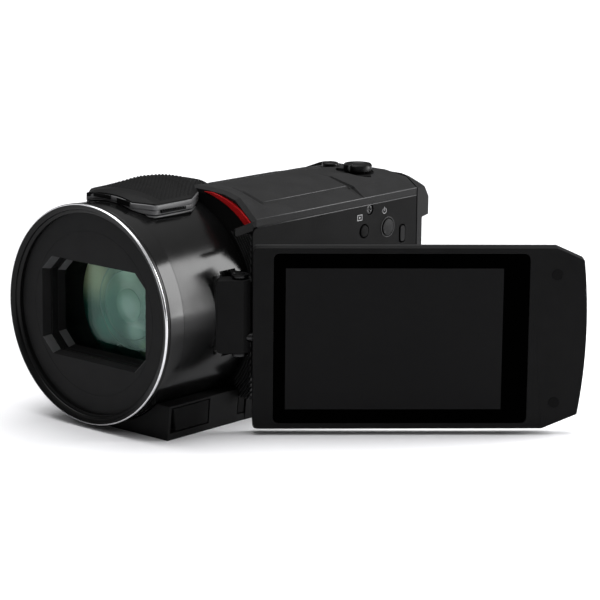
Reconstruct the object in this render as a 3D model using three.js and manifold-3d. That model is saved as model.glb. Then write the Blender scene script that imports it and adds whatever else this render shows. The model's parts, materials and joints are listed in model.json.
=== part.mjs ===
// Palm-held camcorder with a swing-out screen, in millimetres, +Z up, the lens looking along -Y
// and the screen on the +X side.
//
// Every shape is drawn with the lens axis as x = 0, z = 0 and the front of the lens ring as y = 0.
// The exported group then lowers the axis onto its place, so that the underside lies at z = 0 and
// the origin is the middle of the underside.

import * as THREE from 'three';
import { mergeVertices } from 'three/addons/utils/BufferGeometryUtils.js';
import Module from 'manifold-3d';

const wasm = await Module();
wasm.setup();

// ---------------------------------------------------------------- driving dimensions

const AXIS_HEIGHT = 35;          // lens axis above the underside
const ORIGIN_Y = 72;             // middle of the underside, behind the lens ring
const GAP = 0.35;                // between pieces that touch

const RING_R = 33.5;             // outside of the lens ring
const THREAD_R = 30.9;           // 62 mm filter thread
const BARREL_R = 33.15;
const BARREL_BORE = 27.7;
const RING_BACK = 7.8;           // back of the turning ring
const BARREL_BACK = 36.7;
const WINDOW = { wide: 42.4, high: 29.2, cut: 4 };
const TUBE_R = 27.3;             // lens tube inside the barrel
const TUBE_REAR_R = 19.5;

// Pieces along the lens axis, each from its front to its back.
const FACE_PLATE = { front: 3, back: 5.8 };
const BAFFLE = { front: 8.6, back: 10.2, wide: 39.4, high: 26.2 };
const TUBE = { front: 11, step: 34, waist: 38, back: 80, bore: 24.6, rearBore: 17.2 };
const FRONT_LENS = { r: 24.2, front: 13.5, back: 16.5 };
const SECOND_LENS = { r: 22, front: 22, back: 25 };
const REAR_LENS = { r: 16.8, front: 72, back: 74.5 };
const SENSOR = { wide: 13, high: 10, front: 83.4, back: 84.6 };
const LENS_HOLDER = { r: 16.7, long: 5, zoomFront: 46, focusFront: 62 };

const BODY_FRONT = 37;
const BODY_BACK = 117.4;
const OVERHANG_BACK = 120.6;
const BODY_LEFT = 33;            // the wall that the screen folds against
const BODY_RIGHT = -34;
const WALL = 2;
const TOP_SEAM = 26.3;
const BASE_SEAM = -27;
const CHIN = { front: 6.8, top: -24.4, left: 28.2, right: -25, noseRight: -2 };

const BATTERY = { x0: -15, x1: 23, y0: 97, y1: 130.5, z0: -29.5, z1: 6.8 };

// Vertical axis of the screen's swing, its pin and the lugs that hold it.
const HINGE = { x: 35, y: 29.2, low: -10, high: 12, pin: 1.5, lug: 2.9, plate: 1 };
const OPEN_ANGLE = 46.2;         // how far the screen stands open at rest
const POCKET_R = 8.3;            // hinge pocket in the barrel
const SCREEN = { near: 4, long: 100.2, z0: -33, z1: 22, front: -4.5, thick: 5.8 };
const SCREEN_MID = SCREEN.front + SCREEN.thick / 2;
const GLASS = { near: 6.3, long: 75.3, high: 51.3 };
const SHAFT = { r: 1.3, z: (SCREEN.z0 + SCREEN.z1) / 2 };        // axis of the screen's tilt

const SOCKET_Y = 52;             // tripod socket
const STRAP = { front: 46.5, back: 108.6, low: -13, high: 15, out: -58, root: -35.2, thick: 4 };

// ---------------------------------------------------------------- materials

const finish = (color, roughness, metalness = 0) =>
  new THREE.MeshStandardMaterial({ color, roughness, metalness });

const glossBlack = finish(0x0b0b0c, 0.18);
const mattBlack = finish(0x1b1b1c, 0.55);
const grained = finish(0x2d2d2e, 0.6);
const softBlack = finish(0x161616, 0.8);
const rubber = finish(0x121212, 0.85);
const fabric = finish(0x19191a, 0.95);
const redPlastic = finish(0x9c1b1f, 0.35);
const steel = finish(0xa9abad, 0.3, 1);
const brightRing = finish(0xc4c6c8, 0.2, 1);
const brass = finish(0xb59a55, 0.35, 1);
const glass = finish(0x1d3a33, 0.05);
const board = finish(0x1f4a2c, 0.6);
const silicon = finish(0x2a2430, 0.25);

// ---------------------------------------------------------------- solids

// A closed three.js geometry as a solid that can be joined and cut.
function solid(geometry) {
  const bare = new THREE.BufferGeometry();
  bare.setAttribute('position', geometry.attributes.position);
  bare.setIndex(geometry.index);
  const merged = mergeVertices(bare, 1e-4);
  const triVerts = Uint32Array.from(merged.index.array);
  const kept = dropSlivers(triVerts);
  const vertProperties = Float32Array.from(merged.attributes.position.array);
  if (signedVolume(vertProperties, kept) < 0) flip(kept);
  return new wasm.Manifold(new wasm.Mesh({ numProp: 3, vertProperties, triVerts: kept }));
}

// Triangles that lost a corner when vertices were merged, such as those at a lathe's poles.
function dropSlivers(indices) {
  const kept = [];
  for (let i = 0; i < indices.length; i += 3) {
    const [a, b, c] = indices.subarray(i, i + 3);
    if (a !== b && b !== c && c !== a) kept.push(a, b, c);
  }
  return Uint32Array.from(kept);
}

function signedVolume(points, indices) {
  const corner = (i) => new THREE.Vector3().fromArray(points, 3 * indices[i]);
  let volume = 0;
  for (let i = 0; i < indices.length; i += 3) {
    volume += corner(i).dot(corner(i + 1).cross(corner(i + 2)));
  }
  return volume;
}

function flip(indices) {
  for (let i = 0; i < indices.length; i += 3) {
    [indices[i], indices[i + 1]] = [indices[i + 1], indices[i]];
  }
}

function toGeometry(shape) {
  const mesh = shape.getMesh();
  const geometry = new THREE.BufferGeometry();
  geometry.setAttribute('position', new THREE.BufferAttribute(mesh.vertProperties, 3));
  geometry.setIndex(new THREE.BufferAttribute(mesh.triVerts, 1));
  geometry.computeVertexNormals();
  return geometry;
}

const outline = (points) => new THREE.Shape(points.map(([a, b]) => new THREE.Vector2(a, b)));

// A flat outline pushed along one axis. alongX takes (y, z), alongY takes (x, z), alongZ (x, y).
function push(shape, from, to, curveSegments, basis) {
  const geometry = new THREE.ExtrudeGeometry(shape, {
    depth: to - from, bevelEnabled: false, curveSegments,
  });
  return geometry.applyMatrix4(basis);
}

function alongX(shape, from, to, curveSegments = 8) {
  const basis = new THREE.Matrix4().makeBasis(
    new THREE.Vector3(0, 1, 0), new THREE.Vector3(0, 0, 1), new THREE.Vector3(1, 0, 0));
  return solid(push(shape, from, to, curveSegments, basis).translate(from, 0, 0));
}

function alongY(shape, from, to, curveSegments = 8) {
  const basis = new THREE.Matrix4().makeBasis(
    new THREE.Vector3(1, 0, 0), new THREE.Vector3(0, 0, 1), new THREE.Vector3(0, -1, 0));
  return solid(push(shape, from, to, curveSegments, basis).translate(0, to, 0));
}

function alongZ(shape, from, to, curveSegments = 8) {
  return solid(push(shape, from, to, curveSegments, new THREE.Matrix4()).translate(0, 0, from));
}

// A box between two corners.
function block(x0, x1, y0, y1, z0, z1) {
  const box = new THREE.BoxGeometry(x1 - x0, y1 - y0, z1 - z0);
  return solid(box.translate((x0 + x1) / 2, (y0 + y1) / 2, (z0 + z1) / 2));
}

// A rectangle with its corners rounded, or cut when steps is 1.
function roundedBox(wide, high, radius, x = 0, y = 0) {
  const [a, b] = [wide / 2, high / 2];
  const shape = new THREE.Shape();
  shape.moveTo(x - a + radius, y - b);
  shape.lineTo(x + a - radius, y - b);
  shape.absarc(x + a - radius, y - b + radius, radius, -Math.PI / 2, 0);
  shape.lineTo(x + a, y + b - radius);
  shape.absarc(x + a - radius, y + b - radius, radius, 0, Math.PI / 2);
  shape.lineTo(x - a + radius, y + b);
  shape.absarc(x - a + radius, y + b - radius, radius, Math.PI / 2, Math.PI);
  shape.lineTo(x - a, y - b + radius);
  shape.absarc(x - a + radius, y - b + radius, radius, Math.PI, 1.5 * Math.PI);
  return shape;
}

// A turned piece about the lens axis: profile points are [radius, y], closed on itself.
function turned(profile, segments = 48) {
  const points = [...profile, profile[0]].map(([r, y]) => new THREE.Vector2(r, y));
  return solid(new THREE.LatheGeometry(points, segments));
}

const lensTurned = (profile, segments = 32) =>
  solid(new THREE.LatheGeometry(profile.map(([r, y]) => new THREE.Vector2(r, y)), segments));

function rod(axis, radius, from, to, a, b, segments = 24) {
  const circle = new THREE.Shape().absarc(a, b, radius, 0, 2 * Math.PI);
  return { x: alongX, y: alongY, z: alongZ }[axis](circle, from, to, segments / 2);
}

// A lens with two curved faces: its edge from front to back, and how far each face bulges.
function lens(radius, front, back, bulgeFront, bulgeBack) {
  const steps = 5;
  const profile = [[0, front - bulgeFront]];
  for (let i = 1; i <= steps; i += 1) {
    const r = (radius * i) / steps;
    profile.push([r, front - bulgeFront * (1 - (i / steps) ** 2)]);
  }
  for (let i = steps; i >= 1; i -= 1) {
    const r = (radius * i) / steps;
    profile.push([r, back + bulgeBack * (1 - (i / steps) ** 2)]);
  }
  profile.push([0, back + bulgeBack]);
  return lensTurned(profile, 32);
}

const camcorder = new THREE.Group();
const fixed = new THREE.Group();
camcorder.add(fixed);

// A group for pieces that move together.
function body(parent = camcorder) {
  const group = new THREE.Group();
  parent.add(group);
  return group;
}

function add(name, shape, material, parent = fixed) {
  const mesh = new THREE.Mesh(toGeometry(shape), material);
  mesh.name = name;
  parent.add(mesh);
}

// ---------------------------------------------------------------- body form

// Cross-section of the body, seen from the front: (x, z).
function bodySection() {
  const shape = new THREE.Shape();
  shape.moveTo(27.2, -35);
  shape.lineTo(28.4, -24.6);
  shape.lineTo(BODY_LEFT, -19.6);
  shape.lineTo(BODY_LEFT, 27.8);
  shape.lineTo(28.7, 31);
  shape.lineTo(19, 33.8);
  shape.lineTo(8, 34.8);
  shape.bezierCurveTo(-12, 31.5, -30, 26, BODY_RIGHT, 6);
  shape.bezierCurveTo(BODY_RIGHT, -12, -31, -26, -24, -35);
  return shape;
}

// Side view of the body: (y, z). The top falls away at the back and overhangs the rear face.
const bodyProfile = outline([
  [BODY_FRONT, -35], [BODY_FRONT, 33.6], [40, 35], [50, 34.4], [96, 33.6], [105, 33.2],
  [114.4, 32.3], [118.1, 28.6], [OVERHANG_BACK, 24.4], [OVERHANG_BACK, 18.6], [BODY_BACK, 18],
  [BODY_BACK, -32], [115, -35],
]);

// Plan view of the body: (x, y), with the far corners of the right side rounded off.
const bodyPlan = outline([
  [BODY_LEFT, BODY_FRONT], [BODY_LEFT, OVERHANG_BACK], [-20, OVERHANG_BACK], [-29.5, 117],
  [BODY_RIGHT, 109.5], [BODY_RIGHT, 44], [-31, BODY_FRONT],
]);

function bodyForm() {
  const section = alongY(bodySection(), BODY_FRONT, OVERHANG_BACK, 7);
  const profile = alongX(bodyProfile, BODY_RIGHT, BODY_LEFT);
  const plan = alongZ(bodyPlan, -35, 35);
  return section.intersect(profile).intersect(plan);
}

const outerForm = bodyForm();
const middle = [-0.5, 77.5, 0];
const innerForm = outerForm
  .translate(middle.map((v) => -v))
  .scale([1 - WALL / 33.5, 1 - WALL / 41, 1 - WALL / 34.6])
  .translate(middle);
const shell = outerForm.subtract(innerForm);

const FAR = 200;
const slab = (z0, z1) => block(-FAR, FAR, -FAR, FAR, z0, z1);
const leftOf = (x) => block(x, FAR, -FAR, FAR, -FAR, FAR);
const rightOf = (x) => block(-FAR, x, -FAR, FAR, -FAR, FAR);
const between = (y0, y1) => block(-FAR, FAR, y0, y1, -FAR, FAR);

const FRONT_SEAM = 40;
const REAR_SEAM = 114.6;
const midShell = shell.intersect(between(FRONT_SEAM + GAP, REAR_SEAM));

// ---------------------------------------------------------------- lens

function makeLens() {
  add('front_bezel', turned([
    [THREAD_R, 0], [RING_R - 0.5, 0], [RING_R, 0.5], [RING_R, 1.8], [THREAD_R, 1.8]]), brightRing);

  const ringFront = 1.8 + GAP;
  add('control_ring', turned([
    [31.6, ringFront], [BARREL_R + 0.1, ringFront], [BARREL_R + 0.1, RING_BACK], [31.6, RING_BACK]]),
  glossBlack, body());

  const neck = 31.2;
  const barrel = turned([
    [BARREL_BORE, 6.2], [neck, 6.2], [neck, RING_BACK + GAP], [BARREL_R, RING_BACK + GAP],
    [BARREL_R, BARREL_BACK], [BARREL_BORE, BARREL_BACK]], 64);
  const pocket = rod('z', POCKET_R, HINGE.low - 0.8, HINGE.high + 0.8, HINGE.x, HINGE.y, 32);
  const pinHole = rod('z', HINGE.pin + GAP, -20, 20, HINGE.x, HINGE.y, 16);
  const upper = hingeLug(HINGE.high + GAP, 0);
  const lower = hingeLug(HINGE.low - GAP - HINGE.plate, 0);
  const rooms = hingeLug(HINGE.high, GAP).add(hingeLug(HINGE.low - 2 * GAP - HINGE.plate, GAP));
  add('lens_barrel', barrel.subtract(pocket).subtract(rooms), glossBlack);
  add('hinge_lug_upper', upper.subtract(pinHole), steel);
  add('hinge_lug_lower', lower.subtract(pinHole), steel);
  add('lcd_swing_pin', rod('z', HINGE.pin, HINGE.low - 1.3, HINGE.high + 1.3, HINGE.x, HINGE.y, 16),
    steel);

  const cutWindow = (wide, high, y0, y1) => {
    const [a, b, c] = [wide / 2, high / 2, WINDOW.cut];
    return alongY(outline([
      [-a + c, -b], [a - c, -b], [a, -b + c], [a, b - c],
      [a - c, b], [-a + c, b], [-a, b - c], [-a, -b + c]]), y0, y1);
  };
  const disc = (radius, y0, y1) => rod('y', radius, y0, y1, 0, 0, 48);
  add('lens_face_plate',
    disc(THREAD_R - GAP, FACE_PLATE.front, FACE_PLATE.back)
      .subtract(cutWindow(WINDOW.wide, WINDOW.high, 0, 9)), mattBlack);
  add('light_baffle',
    disc(BARREL_BORE - GAP, BAFFLE.front, BAFFLE.back)
      .subtract(cutWindow(BAFFLE.wide, BAFFLE.high, 5, 14)), mattBlack);

  // Tube that carries the lens elements, wide in the barrel and narrow inside the body.
  add('lens_tube', turned([
    [TUBE.bore, TUBE.front], [TUBE_R, TUBE.front], [TUBE_R, TUBE.step], [TUBE_REAR_R, TUBE.waist],
    [TUBE_REAR_R, TUBE.back], [TUBE.rearBore, TUBE.back], [TUBE.rearBore, TUBE.waist + 1],
    [TUBE.bore, TUBE.step - 1]]), softBlack);
  add('front_lens', lens(FRONT_LENS.r, FRONT_LENS.front, FRONT_LENS.back, 3, 0), glass);
  add('second_lens', lens(SECOND_LENS.r, SECOND_LENS.front, SECOND_LENS.back, 0.8, 2.4), glass);
  add('rear_lens', lens(REAR_LENS.r, REAR_LENS.front, REAR_LENS.back, 1.2, 1.2), glass);
  const frameFront = TUBE.back + 0.4;
  const frameBack = SENSOR.front - 0.4;
  add('sensor_frame', turned([
    [10, frameFront], [19.2, frameFront], [19.2, frameBack], [10, frameBack]], 32), steel);
  add('image_sensor', block(-SENSOR.wide / 2, SENSOR.wide / 2, SENSOR.front, SENSOR.back,
    -SENSOR.high / 2, SENSOR.high / 2), silicon);
  add('sensor_board', block(-15, 15, SENSOR.back + 0.4, SENSOR.back + 1.6, -13, 13), board);
}

// One of the two flat lugs that hold the hinge pin above and below the hinge block.
function hingeLug(low, grow) {
  const lug = new THREE.Shape();
  const radius = HINGE.lug + grow;
  lug.moveTo(28.4 - grow, HINGE.y - radius);
  lug.absarc(HINGE.x, HINGE.y, radius, -Math.PI / 2, Math.PI / 2);
  lug.lineTo(28.4 - grow, HINGE.y + radius);
  return alongZ(lug, low, low + HINGE.plate + 2 * grow);
}

// Lens groups that travel along the axis for zoom and focus, each a holder with its glass.
function makeLensGroup(name, radius, front, glassName) {
  const group = body();
  add(name, turned([
    [radius + GAP, front], [LENS_HOLDER.r, front], [LENS_HOLDER.r, front + LENS_HOLDER.long],
    [radius + GAP, front + LENS_HOLDER.long]], 32), softBlack, group);
  add(glassName, lens(radius, front + 1.6, front + 3.4, 1.1, 1.1), glass, group);
}

// ---------------------------------------------------------------- shells

// Wide opening at the rear that takes the battery.
const batteryBay = block(BATTERY.x0 - 0.6, BATTERY.x1 + 0.6, 90, FAR, BATTERY.z0 - 0.6,
  BATTERY.z1 + 0.6);

const WALL_BUTTONS = {
  power_button: { y: 100.2, z: 17.2, r: 2.9, proud: 0.35 },
  mode_button: { y: 88.8, z: 17.4, r: 1.9, proud: 0.3 },
};
const PILL = { y: 107.5, z: 14.1, wide: 2.4, high: 5.2 };
const WALL_SCREW = { y: 91.4, z: 23.5, r: 1.5 };
const TERMINAL_DOOR = { y0: 62, y1: 92, z0: -14, z1: 6 };
const RECORD = { x: -12, z: 12.4, r: 3.7 };
const ZOOM = { x: 17.5, y: 103.5, r: 4.6, stem: 2, low: 33.9 };
const PHOTO = { x: 6, y: 103.5, r: 2.7 };
const SOCKET = { r: 6, bore: 3.2, high: 6 };
const LATCH = { x0: -4, x1: 4, y0: 104, y1: 108, travel: 3.2 };
const FLOOR_TOP = -32.8;
const ACCENT_LOW = 22;
const JACK = { low: -32.6, back: 24.8, swing: 0.9, r: 2.7, z: -29.6 };
const JACKS = [
  { name: 'jack_cover_front', socketName: 'remote_jack', y0: 8.6, y1: 23.9, high: -25.4 },
  { name: 'jack_cover_rear', socketName: 'headphone_jack', y0: 44, y1: 53.6, high: -27.7 },
];

// Front wall of the body behind the barrel, whole but for the hole that the lens tube passes.
function makeFrontFrame() {
  const hole = rod('y', BARREL_BORE + 1, 30, 60, 0, 0, 48);
  const wall = outerForm.intersect(between(BODY_FRONT + 0.1, FRONT_SEAM));
  const accentSpace = slab(ACCENT_LOW - GAP, FAR).subtract(bodyCore(0.93));
  add('front_frame', wall.subtract(hole).subtract(accentSpace).intersect(slab(FLOOR_TOP + GAP, FAR)),
    mattBlack);
  const arch = wall.intersect(between(BODY_FRONT + 0.1, FRONT_SEAM - 0.1))
    .intersect(slab(ACCENT_LOW, FAR)).subtract(bodyCore(0.94));
  add('red_accent', arch, redPlastic);
}

// The body's cross-section shrunk about the lens axis and pushed through the whole body.
function bodyCore(scale) {
  return alongY(bodySection(), 0, 140, 7).scale([scale, 1, scale]);
}

function makeTopCover() {
  const holes = [
    rod('z', ZOOM.stem + GAP, 20, 40, ZOOM.x, ZOOM.y),
    rod('z', PHOTO.r + GAP, 20, 40, PHOTO.x, PHOTO.y),
  ];
  const cover = midShell.intersect(slab(TOP_SEAM, FAR));
  add('top_cover', holes.reduce((cut, hole) => cut.subtract(hole), cover), grained);
}

function makeSideCovers() {
  const sides = midShell.intersect(slab(BASE_SEAM + GAP, TOP_SEAM - GAP));
  const pillHole = roundedBox(PILL.wide + 2 * GAP, PILL.high + 2 * GAP, 1.4, PILL.y, PILL.z);
  const holes = [
    ...Object.values(WALL_BUTTONS).map(({ y, z, r }) => rod('x', r + GAP, 20, 40, y, z)),
    alongX(pillHole, 20, 40, 4),
    rod('x', WALL_SCREW.r + GAP, 20, 40, WALL_SCREW.y, WALL_SCREW.z, 12),
    block(20, 40, TERMINAL_DOOR.y0 - GAP, TERMINAL_DOOR.y1 + GAP, TERMINAL_DOOR.z0 - GAP,
      TERMINAL_DOOR.z1 + GAP),
  ];
  const left = sides.intersect(leftOf(GAP));
  add('left_side_cover', holes.reduce((cut, hole) => cut.subtract(hole), left), mattBlack);
  add('right_side_cover', sides.intersect(rightOf(-GAP)), grained);
}

function makeRearCover() {
  const wall = shell.intersect(between(REAR_SEAM + GAP, FAR));
  const recordHole = rod('y', RECORD.r + GAP, 100, 130, RECORD.x, RECORD.z);
  add('rear_cover', wall.subtract(batteryBay).subtract(recordHole), mattBlack);
}

// Underside with the chin that runs forward below the barrel and holds the jacks.
function makeBaseCover() {
  const { front, top, left, right, noseRight } = CHIN;
  const chinSide = outline([[right + 2, -35], [left - 1, -35], [left, top], [right, top]]);
  const chinPlan = outline([
    [noseRight, front], [left, front], [left, BODY_FRONT], [right, BODY_FRONT]]);
  const chin = alongY(chinSide, front, BODY_FRONT - GAP)
    .intersect(alongZ(chinPlan, -36, 0))
    .subtract(rod('y', BARREL_R + GAP, 0, 60, 0, 0, 64));
  const floor = block(-23.5, 27.1, BODY_FRONT - 1, FRONT_SEAM + 1, -35, FLOOR_TOP)
    .subtract(rod('y', BARREL_R + GAP, 0, BARREL_BACK + GAP, 0, 0, 64));
  const tray = midShell.intersect(slab(-FAR, BASE_SEAM));
  const holes = [
    rod('z', SOCKET.r + GAP, -40, -20, 0, SOCKET_Y),
    ...JACKS.map(({ y0, y1, high }) => block(JACK.back, 40, y0 - JACK.swing, y1 + GAP,
      JACK.low - GAP, high + GAP)),
    ...JACKS.map(({ y0, y1 }) => rod('x', JACK.r + GAP, 20.4, 30, (y0 + y1) / 2, JACK.z)),
    block(LATCH.x0 - GAP, LATCH.x1 + GAP + LATCH.travel, LATCH.y0 - GAP, LATCH.y1 + GAP, -40, -30),
  ];
  const whole = tray.add(chin).add(floor);
  add('base_cover', holes.reduce((cut, hole) => cut.subtract(hole), whole), mattBlack);
  const insert = rod('z', SOCKET.r, -34.8, -35 + SOCKET.high, 0, SOCKET_Y)
    .subtract(rod('z', SOCKET.bore, -40, -20, 0, SOCKET_Y));
  add('tripod_socket', insert, brass);
}

// ---------------------------------------------------------------- microphone pod

const podTop = [[10, 33], [14, 34.6], [24, 36.2], [32.6, 37.9], [38, 37.4], [47, 35.2]];
const podPlan = [
  [-8.5, 10], [9.5, 10], [15.2, 14], [15.8, 32], [11, 47], [-11.5, 47], [-16.8, 33], [-16.5, 19],
  [-12.5, 14],
];
const CAP_THICK = 2;
const CAPSULE = { x: 11.2, half: 2, y0: 20.4, y1: 24.4, z0: 32.4, z1: 33.1 };

// The pod's form between two heights below its top line, with its plan grown by some amount.
function podSlice(topDrop, bottomDrop, grow) {
  const edge = (drop) => podTop.map(([y, z]) => [y, z - drop]);
  const front = podTop[0][0] - 1;
  const back = podTop.at(-1)[0] + 1;
  const side = outline([
    [front, edge(bottomDrop)[0][1]], [front, edge(topDrop)[0][1]], ...edge(topDrop),
    [back, edge(topDrop).at(-1)[1]], [back, edge(bottomDrop).at(-1)[1]], ...edge(bottomDrop).reverse(),
  ]);
  const middleY = 28.5;
  const plan = outline(podPlan.map(([x, y]) =>
    [x * (1 + grow / 16), middleY + (y - middleY) * (1 + grow / 18)]));
  const clear = rod('y', BARREL_R + GAP, 0, BARREL_BACK + GAP, 0, 0, 64);
  return alongX(side, -30, 30).intersect(alongZ(plan, 0, 60)).subtract(clear)
    .subtract(outerForm.translate([0, 0, GAP])).subtract(outerForm.translate([0, -GAP, 0]));
}

function makeMicPod() {
  const { half, y0, y1, z0, z1 } = CAPSULE;
  const capsules = [['mic_left', CAPSULE.x], ['mic_right', -CAPSULE.x]];
  const room = ([, x]) => block(x - half - GAP, x + half + GAP, y0 - GAP, y1 + GAP, 25, z1 + GAP);
  const base = capsules.reduce((cut, capsule) => cut.subtract(room(capsule)),
    podSlice(CAP_THICK + GAP, 8, 0));
  add('mic_pod_base', base.subtract(block(-30, 30, 36.8, 60, 20, 60)), mattBlack);
  add('mic_pod_cap', podSlice(0, CAP_THICK, 0.7), grained);
  capsules.forEach(([name, x]) => add(name, block(x - half, x + half, y0, y1, z0, z1), steel));
}

// ---------------------------------------------------------------- controls

// A button that sinks into the wall along x: a cap, and a wider flange behind the wall.
function makeControls() {
  Object.entries(WALL_BUTTONS).forEach(([name, { y, z, r, proud }]) => {
    const cap = rod('x', r, 29.5, BODY_LEFT + proud, y, z);
    add(name, cap.add(rod('x', r + 0.9, 29, 30.4, y, z)), mattBlack, body());
  });
  const pill = alongX(roundedBox(PILL.wide, PILL.high, 1.15, PILL.y, PILL.z), 29.5,
    BODY_LEFT + 0.3, 4);
  const pillFlange = block(29, 30.2, PILL.y - 2, PILL.y + 2, PILL.z - 3.4, PILL.z + 3.4);
  add('pill_button', pill.add(pillFlange), mattBlack, body());

  const lever = rod('z', ZOOM.r, ZOOM.low, ZOOM.low + 1.9, ZOOM.x, ZOOM.y, 32)
    .add(rod('z', ZOOM.stem, 26, ZOOM.low + 1, ZOOM.x, ZOOM.y, 16))
    .add(block(ZOOM.x - 1, ZOOM.x + 1, ZOOM.y - 6.2, ZOOM.y - 1, ZOOM.low, ZOOM.low + 2.6));
  add('zoom_lever', lever, mattBlack, body());
  const photo = rod('z', PHOTO.r, 27.6, 34.2, PHOTO.x, PHOTO.y)
    .add(rod('z', PHOTO.r + 1, 27.2, 28.6, PHOTO.x, PHOTO.y));
  add('photo_button', photo, mattBlack, body());
  const record = rod('y', RECORD.r, 112.5, 118.6, RECORD.x, RECORD.z)
    .add(rod('y', RECORD.r + 1, 112, 113.4, RECORD.x, RECORD.z));
  add('record_button', record, softBlack, body());
}

// ---------------------------------------------------------------- doors and sockets

function makeDoors() {
  const { y0, y1, z0, z1 } = TERMINAL_DOOR;
  add('terminal_door', block(31.2, 32.9, y0, y1, z0, z1), mattBlack, body());
  const socket = (name, from, to, low, high) => {
    const mouth = block(27, 31, from + 1, to - 1, low + 1, high - 1);
    add(name, block(23.5, 30, from, to, low, high).subtract(mouth), steel);
  };
  socket('hdmi_socket', y0 + 4, y0 + 13, -6, -1);
  socket('usb_socket', y0 + 17, y0 + 26, -6, -1.5);
  JACKS.forEach(({ name, socketName, high, y0: from, y1: to }) => {
    const middleY = (from + to) / 2;
    const flap = outline([[27.9, high], [26.3, high], [26.3, JACK.low], [27.4, JACK.low]]);
    add(name, alongY(flap, from, to), rubber, body());
    const jack = rod('x', JACK.r, 20.8, 24.6, middleY, JACK.z)
      .subtract(rod('x', 1.75, 21.5, 30, middleY, JACK.z, 16));
    add(socketName, jack, softBlack);
  });
}

// ---------------------------------------------------------------- power and electronics

function makeInside() {
  const { x0, x1, y0, y1, z0, z1 } = BATTERY;
  const plan = new THREE.Shape();
  const round = 7;
  plan.moveTo(x0, y0);
  plan.lineTo(x1, y0);
  plan.lineTo(x1, y1 - round);
  plan.absarc(x1 - round, y1 - round, round, 0, Math.PI / 2);
  plan.lineTo(x0 + round, y1);
  plan.absarc(x0 + round, y1 - round, round, Math.PI / 2, Math.PI);
  const side = new THREE.Shape();
  side.moveTo(y0, z0);
  side.lineTo(y1 - 3, z0);
  side.lineTo(y1, z0 + 3);
  side.lineTo(y1, z1 - 6);
  side.absarc(y1 - 6, z1 - 6, 6, 0, Math.PI / 2);
  side.lineTo(y0, z1);
  add('battery', alongZ(plan, z0, z1, 5).intersect(alongX(side, x0, x1, 5)), grained, body());
  add('battery_contacts', block(-4, 12, 93.2, 96.6, -22, -14), brass);
  const latch = block(LATCH.x0, LATCH.x1, LATCH.y0, LATCH.y1, -34.8, -31.5)
    .add(block(LATCH.x0 - 2, LATCH.x1 + 5, LATCH.y0 - 2, LATCH.y1 + 2, -32.5, -31));
  add('battery_latch', latch, softBlack, body());

  add('main_board', block(-24.5, -23, 46, 90, -16, 16), board);
  add('switch_board', block(-4, 24, 93, 112, 21.8, 23.2), board);
  add('speaker', rod('z', 7, 25.4, 28.8, 6, 74), softBlack);
  add('zoom_motor', rod('y', 4, 46, 64, 18, -20), steel);
}

// ---------------------------------------------------------------- folding screen

// Outline of the screen panel (x, z), inset all round: square at the hinge, curved at the far end.
function screenOutline(inset) {
  const { near, long, z0, z1 } = SCREEN;
  const far = near + long;
  const shape = new THREE.Shape();
  shape.moveTo(near + inset, z0 + inset);
  shape.lineTo(near + 86.5, z0 + inset);
  shape.lineTo(near + 97 - inset, z0 + 4.4 + inset);
  shape.quadraticCurveTo(far + 0.6 - inset, (z0 + z1) / 2, near + 98 - inset, z1 - 3.6 - inset);
  shape.lineTo(near + 90, z1 - inset);
  shape.lineTo(near + inset, z1 - inset);
  return shape;
}

function makeScreen() {
  const swing = body();
  swing.position.set(HINGE.x, HINGE.y, 0);
  swing.rotation.z = THREE.MathUtils.degToRad(90 - OPEN_ANGLE);
  const tilt = body(swing);

  const knuckle = new THREE.Shape();
  knuckle.moveTo(-6.8, -4.2);
  knuckle.lineTo(0.4, -4.2);
  knuckle.absarc(0.4, -1.2, 3, -Math.PI / 2, 0);
  knuckle.lineTo(3.4, 2.6);
  knuckle.lineTo(-4.5, 2.6);
  knuckle.lineTo(-6.8, 0.5);
  const shaftHole = rod('x', SHAFT.r + GAP, 1.6, 20, SCREEN_MID, SHAFT.z, 16);
  const pinHole = rod('z', HINGE.pin + GAP, -20, 20, -1, 0, 16).translate([1, 0, 0]);
  add('lcd_hinge_block',
    alongZ(knuckle, HINGE.low, HINGE.high, 6).subtract(pinHole).subtract(shaftHole), mattBlack, swing);
  add('lcd_tilt_shaft', rod('x', SHAFT.r, 1.9, 11.5, SCREEN_MID, SHAFT.z, 16), steel, swing);

  const { front, thick, near } = SCREEN;
  const split = front + 3.5;
  const wall = 1.5;
  const glassMid = near + GLASS.near + GLASS.long / 2;
  const opening = roundedBox(GLASS.long + 2 * GAP, GLASS.high + 2 * GAP, 2.2, glassMid, SHAFT.z);
  const bezel = alongY(screenOutline(0), front, split, 10)
    .subtract(alongY(screenOutline(wall), front + 1, split + 1, 10))
    .subtract(alongY(opening, front - 1, split, 4));
  add('lcd_front_bezel', bezel.subtract(shaftHole), mattBlack, tilt);
  const rear = alongY(screenOutline(0), split + GAP, front + thick, 10)
    .subtract(alongY(screenOutline(wall), split, front + thick - 1.1, 10));
  add('lcd_rear_cover', rear.subtract(shaftHole), mattBlack, tilt);
  const pane = roundedBox(GLASS.long, GLASS.high, 2, glassMid, SHAFT.z);
  add('lcd_glass', alongY(pane, front + 0.05, front + 0.95, 4), glossBlack, tilt);
  add('lcd_display', block(glassMid - 35, glassMid + 35, front + 1.3, front + 3.6,
    SHAFT.z - 23.5, SHAFT.z + 23.5), silicon, tilt);
}

// ---------------------------------------------------------------- hand strap

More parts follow.
